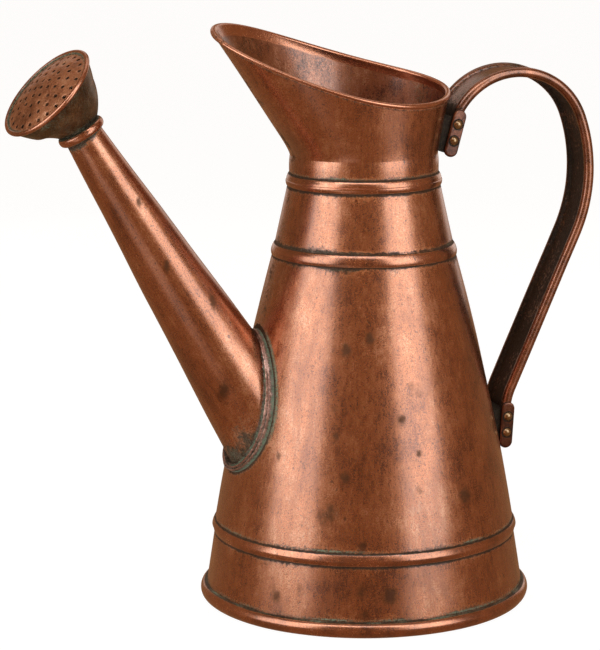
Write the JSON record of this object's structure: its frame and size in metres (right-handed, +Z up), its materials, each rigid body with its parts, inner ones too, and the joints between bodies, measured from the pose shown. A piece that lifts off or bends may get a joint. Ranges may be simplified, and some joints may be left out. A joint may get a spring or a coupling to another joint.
{
  "type": "copper watering can",
  "caption": "Hooded copper watering can, aged and patinated, with a conical body, a tapered side spout, an angled rose and a riveted strap handle.",
  "frame": {"origin": "centre of the foot, on the ground plane that the foot ring rests on", "axes": "+Z up along the can's axis; the spout leaves towards -X, the handle stands on the +X side, and +Y is the far side when the spout points left"},
  "size_m": [0.3211, 0.18, 0.3142],
  "materials": {
    "aged_copper": "aged copper sheet, brown patina with faint brushing, pits and grime, satin",
    "worn_copper": "worn brighter copper on beads and rolled edges, satin",
    "dark_copper": "dark brown to olive patina, matt",
    "crusted_copper": "thick dark green-grey crust with pale verdigris, matt",
    "dull_brass": "dull brass rivets"
  },
  "bodies": {
    "root": {"foot_ring": "worn_copper", "base_disc": "dark_copper", "foot_band": "aged_copper", "lower_bead": "worn_copper", "body_cone": "aged_copper", "shoulder_bead": "worn_copper", "shoulder_band": "aged_copper", "neck_bead": "worn_copper", "neck_band": "aged_copper", "hood": "aged_copper", "spout_tube": "aged_copper", "spout_saddle": "crusted_copper", "rose_ring": "worn_copper", "rose_bell": "dark_copper", "rose_rim": "worn_copper", "rose_face": "aged_copper", "handle_strap": "dark_copper", "upper_lug": "dark_copper", "lower_lug": "dark_copper", "upper_cheek_near": "aged_copper", "upper_cheek_far": "aged_copper", "lower_cheek_near": "aged_copper", "lower_cheek_far": "aged_copper", "upper_rivet_top": "dull_brass", "upper_rivet_bottom": "dull_brass", "lower_rivet_top": "dull_brass", "lower_rivet_bottom": "dull_brass"}
  },
  "joints": []
}
